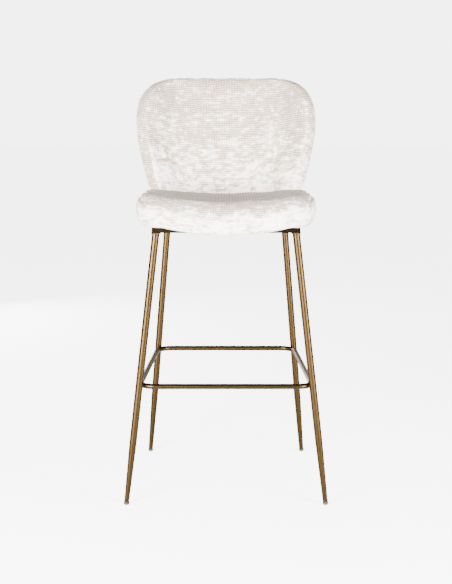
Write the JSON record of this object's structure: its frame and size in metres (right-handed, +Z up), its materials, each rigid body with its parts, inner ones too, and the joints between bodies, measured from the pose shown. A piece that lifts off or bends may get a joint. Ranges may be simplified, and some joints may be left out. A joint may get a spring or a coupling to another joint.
{
  "type": "bar stool",
  "caption": "Upholstered bar stool with a wrapped low back, padded seat, splayed tapered tube legs and a bent tube footrest.",
  "frame": {"origin": "on the floor, under the middle of the whole stool's plan", "axes": "+Z up; the sitter faces -Y; +X to the right as the stool is seen from the front"},
  "size_m": [0.5298, 0.5486, 1.1001],
  "materials": {
    "bronze_metal": "brushed antique bronze plating on steel",
    "black_plastic": "matt moulded",
    "zinc_steel": "zinc plated",
    "birch_plywood": "raw plywood",
    "seat_padding": "upholstery foam",
    "back_padding": "upholstery foam",
    "cream_chenille": "slubby cream chenille",
    "dust_cloth": "black non-woven cloth"
  },
  "bodies": {
    "root": {"leg_front_left": "bronze_metal", "leg_front_right": "bronze_metal", "leg_rear_left": "bronze_metal", "leg_rear_right": "bronze_metal", "foot_front_left": "black_plastic", "foot_front_right": "black_plastic", "foot_rear_left": "black_plastic", "foot_rear_right": "black_plastic", "footrest_ring": "bronze_metal", "footrest_welds": "bronze_metal", "rail_front": "bronze_metal", "rail_rear": "bronze_metal", "rail_left": "bronze_metal", "rail_right": "bronze_metal", "back_strap_left": "bronze_metal", "back_strap_right": "bronze_metal", "seat_screws": "zinc_steel", "seat_washers": "zinc_steel", "seat_t_nuts": "zinc_steel", "back_screws": "zinc_steel", "back_t_nuts": "zinc_steel", "seat_board": "birch_plywood", "seat_foam": "seat_padding", "seat_cover": "cream_chenille", "seat_side_left": "cream_chenille", "seat_side_right": "cream_chenille", "seat_dust_cover": "dust_cloth", "back_shell": "birch_plywood", "back_foam": "back_padding", "back_lining": "back_padding", "back_front_panel": "cream_chenille", "back_band": "cream_chenille", "back_rear_panel": "cream_chenille"}
  },
  "joints": []
}
